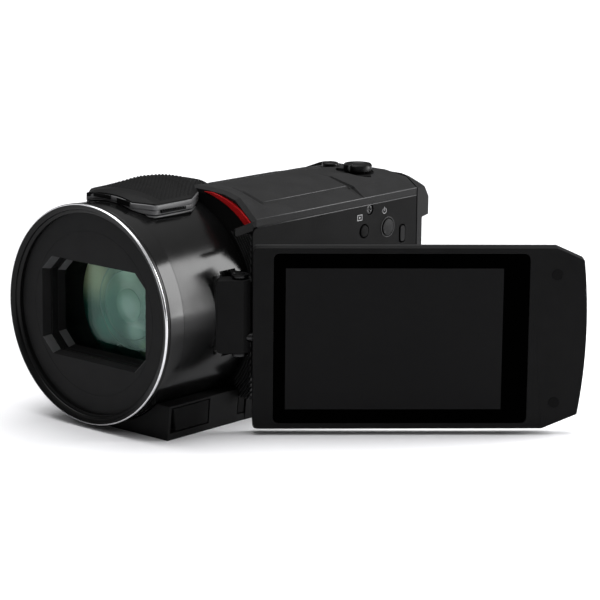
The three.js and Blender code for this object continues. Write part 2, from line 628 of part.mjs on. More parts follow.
// A band that bows out from the right side, level at both ends: (x, y) in plan.
function makeStrap() {
  const { front, back, low, high, out, root, thick } = STRAP;
  const inner = out + 1.3 * thick;
  const band = new THREE.Shape();
  band.moveTo(root, front);
  band.bezierCurveTo(out, front + 8, out, back - 8, root, back);
  band.lineTo(root, back - thick);
  band.bezierCurveTo(inner, back - 12, inner, front + 12, root, front + thick);
  add('hand_strap', alongZ(band, low, high, 14), fabric);
  add('strap_anchor_front', block(-38, -34.4, front - 4.2, front - GAP, low + 3, high - 3), steel);
  add('strap_anchor_rear', block(-38, -34.4, back + GAP, back + 3.6, low + 3, high - 3), steel);
}

makeLens();
makeFrontFrame();
makeTopCover();
makeSideCovers();
makeRearCover();
makeBaseCover();
makeMicPod();
makeControls();
makeDoors();
makeInside();
makeScreen();
makeStrap();
makeLensGroup('zoom_lens_holder', 13, LENS_HOLDER.zoomFront, 'zoom_lens');
makeLensGroup('focus_lens_holder', 12, LENS_HOLDER.focusFront, 'focus_lens');
camcorder.position.set(0, -ORIGIN_Y, AXIS_HEIGHT);

export default camcorder;
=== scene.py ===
"""Looks of a palm-held camcorder with a swing-out screen.

Shapes are drawn in millimetres from the middle of the lens ring's front: x to the screen side,
y back along the body and z up. PANEL is the same for the screen: x along it from the hinge,
y through it from front to back.
"""

import json
import math

import bmesh
import bpy
from mathutils import Matrix, Vector

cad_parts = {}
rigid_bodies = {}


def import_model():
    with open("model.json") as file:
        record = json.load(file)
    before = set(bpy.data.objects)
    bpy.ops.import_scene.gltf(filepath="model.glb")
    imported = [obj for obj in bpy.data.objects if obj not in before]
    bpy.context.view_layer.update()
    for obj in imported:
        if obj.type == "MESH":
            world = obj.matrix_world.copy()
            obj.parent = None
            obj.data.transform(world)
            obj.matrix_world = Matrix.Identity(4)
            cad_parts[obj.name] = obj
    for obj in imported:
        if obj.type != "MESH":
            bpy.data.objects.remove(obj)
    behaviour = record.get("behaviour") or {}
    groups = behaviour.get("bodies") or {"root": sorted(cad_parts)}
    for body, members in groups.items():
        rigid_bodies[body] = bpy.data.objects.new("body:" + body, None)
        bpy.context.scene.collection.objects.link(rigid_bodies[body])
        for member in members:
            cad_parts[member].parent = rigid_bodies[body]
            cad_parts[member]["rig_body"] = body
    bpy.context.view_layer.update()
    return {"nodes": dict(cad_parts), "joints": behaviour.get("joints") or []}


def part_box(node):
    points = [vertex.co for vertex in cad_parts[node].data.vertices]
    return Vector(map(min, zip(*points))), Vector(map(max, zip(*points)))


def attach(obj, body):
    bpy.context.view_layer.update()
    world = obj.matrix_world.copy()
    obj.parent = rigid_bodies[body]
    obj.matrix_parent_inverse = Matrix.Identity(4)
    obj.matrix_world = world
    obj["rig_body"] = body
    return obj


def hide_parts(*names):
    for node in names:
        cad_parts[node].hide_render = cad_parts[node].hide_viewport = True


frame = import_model()

MM = Matrix.Scale(0.001, 4)
ring_low, ring_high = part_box("front_bezel")
pin_low, pin_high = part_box("lcd_swing_pin")
AXIS_Z = (ring_low.z + ring_high.z) / 2
BODY = Matrix.Translation((0, ring_low.y, AXIS_Z)) @ MM
tilt_axis = next(j["axis"] for j in frame["joints"] if j["name"] == "lcd_tilt")
PANEL = (
    Matrix.Translation(((pin_low.x + pin_high.x) / 2, (pin_low.y + pin_high.y) / 2, AXIS_Z))
    @ Matrix.Rotation(math.atan2(-tilt_axis[1], -tilt_axis[0]), 4, "Z")
    @ MM
)


# ---------------------------------------------------------------- finishes


class Finish:
    """A procedural material being built: mottled colour and roughness, and fine surface grain."""

    def __init__(self, name, roughness, metallic=0.0, specular=0.25):
        self.material = bpy.data.materials.new(name)
        self.material.use_nodes = True
        self.tree = self.material.node_tree
        self.shader = self.tree.nodes["Principled BSDF"]
        self.shader.inputs["Roughness"].default_value = roughness
        self.shader.inputs["Metallic"].default_value = metallic
        self.shader.inputs["Specular IOR Level"].default_value = specular
        self.place = self.node("ShaderNodeTexCoord").outputs["Object"]

    def node(self, kind, inputs=None, **settings):
        made = self.tree.nodes.new(kind)
        for key, value in settings.items():
            setattr(made, key, value)
        for key, value in (inputs or {}).items():
            if isinstance(value, bpy.types.NodeSocket):
                self.tree.links.new(value, made.inputs[key])
            else:
                made.inputs[key].default_value = value
        return made

    def noise(self, size_mm, detail=2.0):
        return self.node(
            "ShaderNodeTexNoise", {"Vector": self.place, "Scale": 1000 / size_mm, "Detail": detail}
        ).outputs["Fac"]

    def spread(self, value, low, high):
        limits = {"From Min": 0.3, "From Max": 0.7, "To Min": low, "To Max": high}
        return self.node("ShaderNodeMapRange", {"Value": value, **limits}).outputs["Result"]

    def ramp(self, value, *stops):
        made = self.node("ShaderNodeValToRGB", {"Fac": value})
        points = made.color_ramp.elements
        while len(points) < len(stops):
            points.new(0.5)
        for point, (place, color) in zip(points, stops):
            point.position = place
            point.color = (*color, 1)
        return made.outputs["Color"]

    def use(self, socket, value):
        self.tree.links.new(value, self.shader.inputs[socket])

    def bump(self, height, distance_mm, strength=1.0):
        settings = {"Height": height, "Distance": distance_mm / 1000, "Strength": strength}
        self.use("Normal", self.node("ShaderNodeBump", settings).outputs["Normal"])


def mottled(
    name, color, roughness, patch=6.0, spread=0.12, grain=None, metallic=0.0, specular=0.25
):
    """A finish whose colour and roughness wander a little, with grain = (size, depth) in mm."""
    finish = Finish(name, roughness, metallic, specular)
    cloud = finish.noise(patch)
    dark = [c * (1 - spread) for c in color]
    light = [c * (1 + spread) for c in color]
    finish.use("Base Color", finish.ramp(cloud, (0.3, dark), (0.7, light)))
    finish.use("Roughness", finish.spread(cloud, roughness * 0.92, min(1, roughness * 1.08)))
    if grain:
        finish.bump(finish.noise(grain[0], 3.0), grain[1])
    return finish.material


def grey(value):
    return (value, value, value * 1.02)


GLOSS = mottled("gloss black plastic", grey(0.0030), 0.2, specular=0.24)
RING = mottled("polished black plastic", grey(0.0030), 0.13, specular=0.27)
SATIN = mottled("satin black plastic", grey(0.0035), 0.3, specular=0.14)
MATT = mottled("matt black plastic", grey(0.0072), 0.5, grain=(0.35, 0.02), specular=0.05)
GRAINED = mottled("grained dark grey plastic", grey(0.0175), 0.6, grain=(0.5, 0.1), specular=0.05)
# Painted highlight: a light grey for thin edges, seam lines and corner facets, in place of light caught
# along them.
PAINTED_EDGE_LIGHT = mottled("painted highlight grey", grey(0.06), 0.4, grain=(0.4, 0.01), specular=0.2)
PALE = mottled("pale grey trim", grey(0.10), 0.4, grain=(0.4, 0.01), specular=0.3)
FACE = mottled("lens face plastic", grey(0.0128), 0.5, grain=(0.35, 0.02), specular=0.05)
WALL = mottled("side wall plastic", grey(0.0042), 0.55, grain=(0.4, 0.03), specular=0.03)
SOFT = mottled("soft black plastic", grey(0.0028), 0.7, grain=(0.5, 0.02), specular=0.06)
RUBBER = mottled("black rubber", grey(0.0045), 0.75, grain=(0.3, 0.02), specular=0.06)
RED = mottled("red accent", (0.30, 0.006, 0.007), 0.4, specular=0.12)
STEEL = mottled("brushed steel", grey(0.45), 0.32, patch=1.2, metallic=1.0)
DARK_STEEL = mottled("dark steel", grey(0.03), 0.35, patch=1.2, metallic=1.0)
BRIGHT = mottled("bright ring", grey(0.62), 0.2, patch=2.0, spread=0.05, metallic=1.0)
BRASS = mottled("brass", (0.55, 0.37, 0.12), 0.35, patch=1.5, metallic=1.0)
PRINT = mottled("white print", grey(0.24), 0.5, spread=0.05)
BLACK_PRINT = mottled("black border", grey(0.0003), 0.15, specular=0.0)
DISPLAY = mottled(
    "unlit display", (0.0115, 0.0115, 0.0118), 0.16, patch=20, spread=0.03, specular=0.0
)
BOARD = mottled("circuit board", (0.012, 0.07, 0.025), 0.5, patch=3.0)
SENSOR = mottled("image sensor", (0.03, 0.02, 0.05), 0.2, patch=2.0)
PALE_FLOOR = mottled("pale floor", grey(0.88), 0.85, patch=400, spread=0.01)


def spun_metal():
    """Dark metal turned on a lathe, with a slightly mottled colour."""
    finish = Finish("spun dark metal", 0.3, 1.0, 0.5)
    finish.use("Base Color", finish.ramp(finish.noise(0.8), (0.3, grey(0.002)), (0.7, grey(0.006))))
    return finish.material


def lens_coating():
    """Nested coated elements in greens, with painted light: olive and lighter at the top, teal in the
    middle, deep green and darker below, painted sheens, and lighter rings up to a painted highlight at
    the core.
    """
    finish = Finish("coated lens elements", 0.12, 0.0, 0.5)

    def added(first, second):
        inputs = {"Fac": 1.0, "Color1": first, "Color2": second}
        return finish.node("ShaderNodeMixRGB", inputs, blend_type="ADD").outputs["Color"]

    def part(value, low, high, **settings):
        limits = {"Value": value, "From Min": low, "From Max": high}
        return finish.node("ShaderNodeMapRange", limits, **settings).outputs["Result"]

    place = finish.node(
        "ShaderNodeMapping",
        {"Vector": finish.place, "Location": -BODY.translation * 1000, "Scale": (1000, 1000, 1000)},
    ).outputs["Vector"]
    parts = finish.node("ShaderNodeSeparateXYZ", {"Vector": place}).outputs
    flat = finish.node(
        "ShaderNodeVectorMath", {0: place, 1: (1, 0, 1)}, operation="MULTIPLY"
    ).outputs["Vector"]
    radius = finish.node("ShaderNodeVectorMath", {0: flat}, operation="LENGTH").outputs["Value"]
    # Painted light: deep green and dark at the bottom, lighter and olive at the top, as if lit from
    # above.
    base = finish.ramp(
        part(parts["Z"], -16.0, 16.0), (0.0, (0.003, 0.02, 0.016)), (0.25, (0.006, 0.05, 0.04)),
        (0.55, (0.025, 0.085, 0.058)), (0.75, (0.09, 0.13, 0.085)), (1.0, (0.17, 0.20, 0.13)),
    )
    # Teal tints for each element, growing lighter towards the middle and ending in a painted highlight at
    # the core.
    ring_tints_and_painted_glow = finish.ramp(
        part(radius, 22.0, 2.0), (0.0, (0, 0, 0)), (0.40, (0, 0, 0)), (0.41, (0.02, 0.055, 0.045)),
        (0.56, (0.004, 0.02, 0.016)), (0.57, (0.03, 0.07, 0.06)), (0.83, (0.006, 0.03, 0.024)),
        (0.84, (0.07, 0.12, 0.10)), (1.0, (0.16, 0.22, 0.20)),
    )
    # Painted sheens: soft lighter patches that stand in for highlights and reflections on the domes; one
    # lightens a shaded patch low down.
    painted_sheens = (  # middle, reach, colour
        ((2.5, 0, -8.5), 6.5, (0.30, 0.38, 0.34)), ((-1.0, 0, 11.5), 8.0, (0.20, 0.26, 0.23)),
        ((5.5, 0, -12.5), 4.0, (0.16, 0.22, 0.10)), ((-17.0, 0, 6.0), 11.0, (0.34, 0.31, 0.18)),
        ((-12.0, 0, -10.0), 8.0, (0.0, 0.09, 0.065)),
    )
    total = base
    for middle, reach, color in painted_sheens:
        far = finish.node(
            "ShaderNodeVectorMath", {0: flat, 1: middle}, operation="DISTANCE"
        ).outputs["Value"]
        near = part(far, reach, 0.0, interpolation_type="SMOOTHERSTEP")
        total = added(total, finish.ramp(near, (0.0, (0, 0, 0)), (1.0, color)))
    finish.use("Base Color", added(total, ring_tints_and_painted_glow))
    return finish.material


def clear_coat_glass():
    """Thin front element: nearly clear, with a faint reflection."""
    finish = Finish("clear lens glass", 0.03, 0.0, 0.5)
    tint = finish.ramp(finish.noise(8.0), (0.3, (0.93, 0.97, 0.95)), (0.7, (0.95, 0.98, 0.97)))
    through = finish.node("ShaderNodeBsdfTransparent", {"Color": tint})
    shine = finish.node("ShaderNodeBsdfGlossy", {"Color": (0.6, 0.9, 0.8, 1), "Roughness": 0.04})
    shaders = {0: 0.035, 1: through.outputs[0], 2: shine.outputs[0]}
    mixed = finish.node("ShaderNodeMixShader", shaders).outputs[0]
    finish.tree.links.new(mixed, finish.tree.nodes["Material Output"].inputs["Surface"])
    finish.tree.nodes.remove(finish.shader)
    return finish.material


def webbing():
    """Padded strap cloth: a fine twill and slight wear."""
    finish = Finish("strap cloth", 0.85, 0.0, 0.12)
    finish.use("Base Color", finish.ramp(finish.noise(2.5), (0.3, grey(0.0075)), (0.7, grey(0.0115))))
    wave = {"Vector": finish.place, "Scale": 320.0, "Distortion": 1.0}
    twill = finish.node("ShaderNodeTexWave", wave, bands_direction="DIAGONAL").outputs["Fac"]
    finish.bump(twill, 0.12, 0.7)
    return finish.material


SPUN = spun_metal()
COATED = lens_coating()
# Painted glint: a bright teal for the thin element rims, in place of light caught on their edges.
PAINTED_RIM_GLINT = mottled("element rim painted glint", (0.10, 0.19, 0.16), 0.25, patch=3.0, specular=0.4)
CLEAR = clear_coat_glass()
CLOTH = webbing()


# ---------------------------------------------------------------- shaping


def piece(name, points, faces, space=BODY):
    mesh = bpy.data.meshes.new(name)
    mesh.from_pydata([space @ Vector(p) for p in points], [], faces)
    tidy(mesh)
    obj = bpy.data.objects.new(name, mesh)
    bpy.context.scene.collection.objects.link(obj)
    return obj


def tidy(mesh, flat=0.0):
    """Joins doubled points, faces outward and merges faces that lie in one plane."""
    work = bmesh.new()
    work.from_mesh(mesh)
    bmesh.ops.remove_doubles(work, verts=work.verts, dist=2e-6)
    if flat:
        bmesh.ops.dissolve_limit(
            work, angle_limit=math.radians(flat), verts=work.verts, edges=work.edges
        )
    bmesh.ops.recalc_face_normals(work, faces=work.faces)
    work.to_mesh(mesh)
    work.free()


def prism(name, outline, low, high, axis, space=BODY):
    """A flat outline pushed along one axis: (y, z) for x, (x, z) for y and (x, y) for z."""
    at = {
        "x": lambda a, b, c: (c, a, b),
        "y": lambda a, b, c: (a, c, b),
        "z": lambda a, b, c: (a, b, c),
    }[axis]
    count = len(outline)
    points = [at(a, b, c) for c in (low, high) for a, b in outline]
    sides = [(i, (i + 1) % count, count + (i + 1) % count, count + i) for i in range(count)]
    return piece(name, points, [range(count), range(count, 2 * count), *sides], space)


def box(name, x, y, z, space=BODY):
    return prism(name, [(x[0], y[0]), (x[1], y[0]), (x[1], y[1]), (x[0], y[1])], *z, "z", space)


def bezier(ends, t):
    """The point at t, from 0 to 1, on the curve with these end and control points."""
    while len(ends) > 1:
        pairs = zip(ends, ends[1:])
        ends = [tuple(u * (1 - t) + v * t for u, v in zip(a, b)) for a, b in pairs]
    return ends[0]


def rounded(outline, radius, steps=6):
    """The outline with its corners rounded; radius may be one number or one for each corner."""
    radii = radius if isinstance(radius, (list, tuple)) else [radius] * len(outline)
    result = []
    for i, here in enumerate(outline):
        here = Vector(here)
        before = (Vector(outline[i - 1]) - here).normalized()
        after = (Vector(outline[(i + 1) % len(outline)]) - here).normalized()
        if radii[i] <= 0:
            result.append(tuple(here))
            continue
        half = before.angle(after) / 2
        start, end = here + before * radii[i] / math.tan(half), here + after * radii[i] / math.tan(half)
        for k in range(steps + 1):
            t = k / steps
            result.append(tuple(start * (1 - t) ** 2 + here * 2 * t * (1 - t) + end * t * t))
    return result


def rectangle(x0, x1, y0, y1):
    return [(x0, y0), (x1, y0), (x1, y1), (x0, y1)]


def circle(x, y, radius, steps=48):
    turn = 2 * math.pi / steps
    return [(x + radius * math.cos(i * turn), y + radius * math.sin(i * turn)) for i in range(steps)]


def turned(name, profile, steps=160, centre=(0, 0), axis="y", space=BODY):
    """A closed profile of (radius, place along the axis) turned about that axis."""
    at = {
        "y": lambda a, b, c: (centre[0] + a, c, centre[1] + b),
        "z": lambda a, b, c: (centre[0] + a, centre[1] + b, c),
        "x": lambda a, b, c: (c, centre[0] + a, centre[1] + b),
    }[axis]
    count = len(profile)
    points, faces = [], []
    for i in range(steps):
        turn = 2 * math.pi * i / steps
        points += [at(r * math.cos(turn), r * math.sin(turn), along) for r, along in profile]
        a, b = i * count, ((i + 1) % steps) * count
        faces += [(a + k, a + (k + 1) % count, b + (k + 1) % count, b + k) for k in range(count)]
    return piece(name, points, faces, space)


def loft(name, sections, space=BODY, caps=True):
    """Closed cross-sections joined in order."""
    count = len(sections[0])
    points = [p for section in sections for p in section]
    faces = []
    for i in range(len(sections) - 1):
        a, b = i * count, (i + 1) * count
        faces += [(a + k, a + (k + 1) % count, b + (k + 1) % count, b + k) for k in range(count)]
    if caps:
        faces += [range(count), range(len(points) - count, len(points))]
    return piece(name, points, faces, space)


def settle(obj):
    """Applies the modifiers so far."""
    changed = obj.evaluated_get(bpy.context.evaluated_depsgraph_get())
    shape = bpy.data.meshes.new_from_object(changed)
    obj.modifiers.clear()
    obj.data = shape
    return obj


def combine(obj, *others, how="DIFFERENCE"):
    """Cuts the other shapes from the first, or joins or keeps what they share, and drops them."""
    for other in others:
        change = obj.modifiers.new("combine", "BOOLEAN")
        change.operation = how
        change.solver = "EXACT"
        change.object = other
        settle(obj)
        bpy.data.objects.remove(other)
    return obj


def joined(name, *objs):
    """Several shapes as one piece."""
    work = bmesh.new()
    for obj in objs:
        work.from_mesh(obj.data)
        bpy.data.objects.remove(obj)
    mesh = bpy.data.meshes.new(name)
    work.to_mesh(mesh)
    work.free()
    result = bpy.data.objects.new(name, mesh)
    bpy.context.scene.collection.objects.link(result)
    return result


def soften(obj, width, segments=2, angle=32, flat=0.4, weigh=True):
    """Rounds the sharp edges by a width in mm and shades the rest smoothly."""
    tidy(obj.data, flat)
    for polygon in obj.data.polygons:
        polygon.use_smooth = True
    if width:
        round_off = obj.modifiers.new("rounded edges", "BEVEL")
        round_off.width = width / 1000
        round_off.segments = segments
        round_off.limit_method = "ANGLE"
        round_off.angle_limit = math.radians(angle)
        settle(obj)
        for polygon in obj.data.polygons:
            polygon.use_smooth = True
    obj.data.set_sharp_from_angle(angle=math.radians(angle))
    if weigh:
        weighted = obj.modifiers.new("flat faces stay flat", "WEIGHTED_NORMAL")
        weighted.keep_sharp = True
        weighted.weight = 100
        settle(obj)
    return obj


def show(obj, body, finish, slot, *nodes):
    """Puts a piece on a body, with its finish and the CAD nodes that it stands for."""
    obj.data.materials.clear()
    obj.data.materials.append(finish)
    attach(obj, body)
    if nodes:
        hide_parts(*nodes)
    return obj


def refined(node, finish, slot, width=0.3, segments=2):
    """A CAD node's own shape with its edges rounded."""
    source = frame["nodes"][node].data
    faces = [tuple(p.vertices) for p in source.polygons]
    mesh = bpy.data.meshes.new(node + "_fine")
    mesh.from_pydata([v.co for v in source.vertices], [], faces)
    obj = bpy.data.objects.new(node + "_fine", mesh)
    bpy.context.scene.collection.objects.link(obj)
    soften(obj, width, segments)
    return show(obj, frame["nodes"][node]["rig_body"], finish, slot, node)


def between(table, place):
    """Straight-line values between the rows of a table of (place, value)."""
    for (a, low), (b, high) in zip(table, table[1:]):
        if place <= b:
            return low + (high - low) * max(0, place - a) / (b - a)
    return table[-1][1]


def swept(name, path, radius, space=BODY, sides=8):
    """A thin round bead along a path of points."""
    path = [Vector(place) for place in path]
    turns = [2 * math.pi * k / sides for k in range(sides)]
    sections = []
    for i, here in enumerate(path):
        ahead = path[min(i + 1, len(path) - 1)] - path[max(i - 1, 0)]
        if i == 0:
            across = ahead.orthogonal().normalized()
        else:
            across = (across - ahead * across.dot(ahead) / ahead.length_squared).normalized()
        other = ahead.normalized().cross(across)
        ring = [across * math.cos(turn) + other * math.sin(turn) for turn in turns]
        sections.append([tuple(here + way * radius) for way in ring])
    obj = loft(name, sections, space)
    for polygon in obj.data.polygons:
        polygon.use_smooth = True
    return obj


# ---------------------------------------------------------------- lens

BARREL_R, BARREL_BACK = 33.15, 36.7
RING_BACK = 7.75
FACE_R = 30.6
WINDOW_CUT = 4
FRONT_WINDOW = {"wide": 42.4, "high": 28.6, "back": 5.8, "flare": 0.8}
INNER_WINDOW = {"wide": 39.6, "high": 26.6, "back": 10.6, "flare": 0.7}


def make_ring():
    rim = turned("front_bezel_rim", [
        (33.1, 0.04), (33.28, 0.0), (33.42, 0.14), (33.5, 0.36), (33.5, 0.62), (33.1, 0.62)], 256)
    show(soften(rim, 0), "housing", BRIGHT, "bright_ring", "front_bezel")
    lip = turned("front_bezel_lip", [
        (33.06, 0.1), (33.06, 1.8), (30.9, 1.8), (30.9, 3.0), (30.6, 3.0), (30.6, 1.7),
        (31.0, 1.4), (31.45, 1.3), (31.6, 1.1), (31.65, 0.75), (31.9, 0.5), (32.5, 0.25)], 256)
    show(soften(lip, 0), "housing", SATIN, "gloss_black")
    back = turned("front_bezel_back", [(33.48, 0.66), (33.48, 1.8), (33.1, 1.8), (33.1, 0.66)], 256)
    show(soften(back, 0.08), "housing", SATIN, "gloss_black")
    ring = turned("control_ring_band", [
        (31.6, 2.1), (33.3, 2.1), (33.3, RING_BACK), (31.6, RING_BACK)], 256)
    show(soften(ring, 0.12), "control_ring", RING, "gloss_black", "control_ring")
    thread = [(30.9 - 0.25 * (k % 2), 2.0 + 0.25 * k) for k in range(5)]
    groove = turned("filter_thread", [(30.9, 3.2), (30.9, 1.9), *thread, (30.3, 3.1)], 192)
    show(soften(groove, 0), "housing", SOFT, "matte_black")


def cut_corners(wide, high, cut):
    a, b = wide / 2, high / 2
    return [(-a + cut, -b), (a - cut, -b), (a, -b + cut), (a, b - cut),
            (a - cut, b), (-a + cut, b), (-a, b - cut), (-a, -b + cut)]


def opening_at(size, grow):
    """Outline of a window grown by some amount all round."""
    wide, high = size["wide"] + 2 * grow, size["high"] + 2 * grow
    return cut_corners(wide, high, WINDOW_CUT + 0.5 * grow)


def window(name, radius, front, size):
    """A disc with a window whose walls open out towards the front."""
    back, flare = size["back"], size["flare"]
    disc = turned(name, [(0, front), (radius, front), (radius, back), (0, back)], 192)
    steps = [(back + 0.5, 0), (back, 0), (front, flare), (front - 0.5, flare)]
    sections = [[(x, y, z) for x, z in opening_at(size, grow)] for y, grow in steps]
    return combine(disc, loft("opening", sections))


def corner_strips(name, front, size):
    """Smooth facets in the four cut corners of a window, which catch the light and are also coloured
    light grey as a painted highlight.
    """
    outer, inner = opening_at(size, size["flare"]), opening_at(size, 0)
    back = size["back"]
    strips = []
    for a, b in ((1, 2), (3, 4), (5, 6), (7, 0)):
        middle = (Vector(inner[a]) + Vector(inner[b])) / 2
        lift = -middle.normalized() * 0.12
        ring = [(outer[a], front), (outer[b], front), (inner[b], back), (inner[a], back)]
        near = [(p[0] + lift.x, y, p[1] + lift.y) for p, y in ring]
        far = [(p[0] - lift.x, y, p[1] - lift.y) for p, y in ring]
        strips.append(loft("strip", [near, far]))
    # The facets carry the light grey of a painted highlight.
    show(soften(joined(name, *strips), 0, flat=0), "housing", PAINTED_EDGE_LIGHT, "matte_black")


def make_face():
    plate = window("lens_face", FACE_R, 3.0, FRONT_WINDOW)
    corner_strips("window_facets", 3.05, FRONT_WINDOW)
    mark = turned("line", [(24.9, 2.0), (25.05, 2.0), (25.05, 3.06), (24.9, 3.06)], 192)
    plate = soften(combine(plate, mark), 0.12)
    show(plate, "housing", FACE, "matte_black", "lens_face_plate")
    inner = window("inner_window", 27.4, 8.2, INNER_WINDOW)
    corner_strips("inner_window_facets", 8.25, INNER_WINDOW)
    show(soften(inner, 0.12), "housing", MATT, "matte_black", "light_baffle")
    passage = cut_corners(42.4, 29.2, WINDOW_CUT)
    wall = loft("window_wall", [[(x, y, z) for x, z in passage] for y in (5.9, 8.5)], caps=False)
    thick = wall.modifiers.new("thickness", "SOLIDIFY")
    thick.thickness = 0.0006
    show(soften(settle(wall), 0.05), "housing", MATT, "matte_black")


def make_elements():
    steps = 9
    profile = []
    for k in range(steps):
        radius = 24.1 - 0.17 * k
        profile += [(radius, 13.6 + 0.75 * k), (radius - 0.12, 14.25 + 0.75 * k)]
    profile += [(22.5, 20.6), (24.4, 20.6), (24.4, 13.6)]
    show(soften(turned("lens_tube_rings", profile, 160), 0), "housing", SATIN, "soft_black")

    def dome(name, outer, front, rim, bulge):
        points = [(outer * k / 14, front - bulge * (1 - (k / 14) ** 2)) for k in range(15)]
        show(soften(turned(name, [*points, (outer, rim), (0, rim)], 128), 0, angle=50),
             "housing", COATED, "lens_glass", *(["second_lens"] if outer > 20 else []))

    dome("second_lens_outer", 22.3, 20.4, 21.2, 1.0)
    dome("second_lens_middle", 13.8, 19.6, 20.6, 1.2)
    dome("second_lens_inner", 10.6, 18.7, 20.0, 1.0)
    dome("second_lens_core", 5.2, 17.8, 19.5, 0.7)
    # Painted glints: thin beads in bright teal along the edges of two elements.
    rims = (("element_rim_middle", 13.9, 19.55), ("element_rim_inner", 10.7, 18.65))
    for name, radius, place in rims:
        loop = circle(0, 0, radius, 96)
        path = [(x, place, z) for x, z in [*loop, loop[0]]]
        show(swept(name, path, 0.13), "housing", PAINTED_RIM_GLINT, "lens_glass")
    glass = [(23.6 * k / 16, 11.0 + 1.6 * (k / 16) ** 2) for k in range(17)]
    back = [(r, y + 0.8) for r, y in reversed(glass)]
    clear = soften(turned("front_lens_clear", [*glass, *back], 128), 0)
    show(clear, "housing", CLEAR, "lens_glass", "front_lens")


def make_barrel():
    front = RING_BACK + 0.15
    barrel = turned("lens_barrel_shell", [
        (27.7, 6.2), (31.2, 6.2), (31.2, front), (BARREL_R, front), (BARREL_R, BARREL_BACK),
        (27.7, BARREL_BACK)], 256)
    centre = BODY.inverted() @ PANEL.translation
    pocket = prism("pocket", circle(centre.x, centre.y, 8.3, 72), -10.8, 12.8, "z")
    soften(pocket, 0.7, 3, flat=0)
    beside = (centre.y - 3.4, centre.y + 3.4)
    lugs = [box("lug_room", (28.0, 40), beside, z) for z in ((-12, -10), (11.9, 13.8))]
    combine(barrel, pocket, *lugs)
    show(soften(barrel, 0.15), "housing", GLOSS, "gloss_black", "lens_barrel")


# ---------------------------------------------------------------- body

WALL_X = 33.0
SEAM_Z = 26.35
BACK_Y = 114.5
POWER_AT, MODE_AT = (100.2, 17.2), (88.8, 17.4)   # (y, z) on the side wall
SCREW_AT = (91.4, 23.9)
ZOOM_AT, PHOTO_AT = (17.5, 103.5), (6, 103.5)     # (x, y) on the deck
RECORD_AT = (-12, 12.4)                           # (x, z) on the back


def right_curve():
    """The right shoulder of the section from the top down to the side seam."""
    ends = [(8, 34.8), (-12, 31.5), (-30, 26), (-34, 6)]
    points = [bezier(ends, k / 100) for k in range(1, 101)]
    above = [p for p in points if p[1] > SEAM_Z]
    return above[3::5] + [next(p for p in points if p[1] <= SEAM_Z)]


WALL_FOOT, WALL_TOP = (WALL_X, 25.7), (WALL_X, 27.8)
# Lines across the top at several y, each from the wall's seam over its top edge, the foot and the
# edge of the step, the crease and the shoulder to the crown.
TOP_LINES = [
    (37.4, [(32.5, 25.7), (32.5, 27.2), (28.3, 30.9), (25.6, 33.1), (21.0, 34.3), (15, 34.7), (8, 34.8)]),
    (38.9, [WALL_FOOT, (33, 27.9), (29.0, 31.5), (26.3, 33.8), (21.4, 35.1), (15, 35.5), (8, 35.4)]),
    (43.0, [WALL_FOOT, WALL_TOP, (28.6, 31.1), (25.9, 33.1), (21.0, 34.8), (15, 35.2), (8, 35.2)]),
    (48.4, [WALL_FOOT, WALL_TOP, (27.2, 30.4), (26.2, 30.6), (18.6, 33.0), (14, 34.0), (8, 34.7)]),
    (49.0, [WALL_FOOT, WALL_TOP, (27.2, 30.3), (26.5, 31.1), (18.4, 33.5), (14, 34.1), (8, 34.6)]),
    (87.6, [WALL_FOOT, WALL_TOP, (27.3, 30.2), (26.6, 31.0), (18.6, 33.2), (14, 33.7), (8, 34.0)]),
    (88.0, [WALL_FOOT, WALL_TOP, (28.0, 30.2), (27.6, 30.5), (18.6, 32.8), (14, 33.3), (8, 33.6)]),
    (88.5, [WALL_FOOT, WALL_TOP, (28.0, 30.2), (27.6, 30.5), (18.6, 32.8), (14, 33.3), (8, 33.6)]),
    (88.9, [WALL_FOOT, WALL_TOP, (29.0, 30.6), (28.2, 31.1), (19.0, 33.1), (14, 33.4), (8, 33.5)]),
    (105.0, [WALL_FOOT, WALL_TOP, (29.2, 30.6), (28.6, 31.0), (19.6, 32.9), (14, 33.0), (8, 33.1)]),
    (BACK_Y, [WALL_FOOT, WALL_TOP, (29.6, 30.2), (28.7, 30.9), (20.0, 32.2), (14, 32.2), (8, 32.2)]),
]


def make_top():
    right = right_curve()
    sections = []
    for y, left in TOP_LINES:
        lower = 34.8 - left[-1][1]
        far = [(x, z - lower * max(0, (x + 19) / 27)) for x, z in right]
        sections.append([(x, y, z) for x, z in [*left, *far]])
    outer = [p for section in sections for p in section]
    count = len(sections[0])
    faces = [
        (i * count + k, i * count + k + 1, (i + 1) * count + k + 1, (i + 1) * count + k)
        for i in range(len(sections) - 1) for k in range(count - 1)
    ]
    top = piece("top_cover_shell", outer, faces)
    if sum(p.normal.z for p in top.data.polygons) < 0:
        top.data.flip_normals()
    thick = top.modifiers.new("thickness", "SOLIDIFY")
    thick.thickness = 0.0017
    settle(top)
    tidy(top.data)
    holes = [prism("hole", circle(*at, r), 20, 40, "z") for at, r in ((ZOOM_AT, 5.2), (PHOTO_AT, 3.1))]
    turns = [math.radians(a) for a in range(-165, -14, 10)]
    sweep = [(ZOOM_AT[0] + 7.4 * math.cos(a), ZOOM_AT[1] + 6.6 * math.sin(a)) for a in turns]
    combine(top, *holes, prism("lever_sweep", [*sweep, ZOOM_AT], 32.2, 40, "z"))
    show(soften(top, 0.3, 2, angle=14, flat=0.1), "housing", GRAINED, "grained_grey", "top_cover")
    floor = prism("control_well", [*sweep, *circle(*ZOOM_AT, 5.4)[:25]], 31.0, 32.3, "z")
    hole = prism("hole", circle(*ZOOM_AT, 2.35), 20, 40, "z")
    show(soften(combine(floor, hole), 0.1), "housing", SOFT, "matte_black")


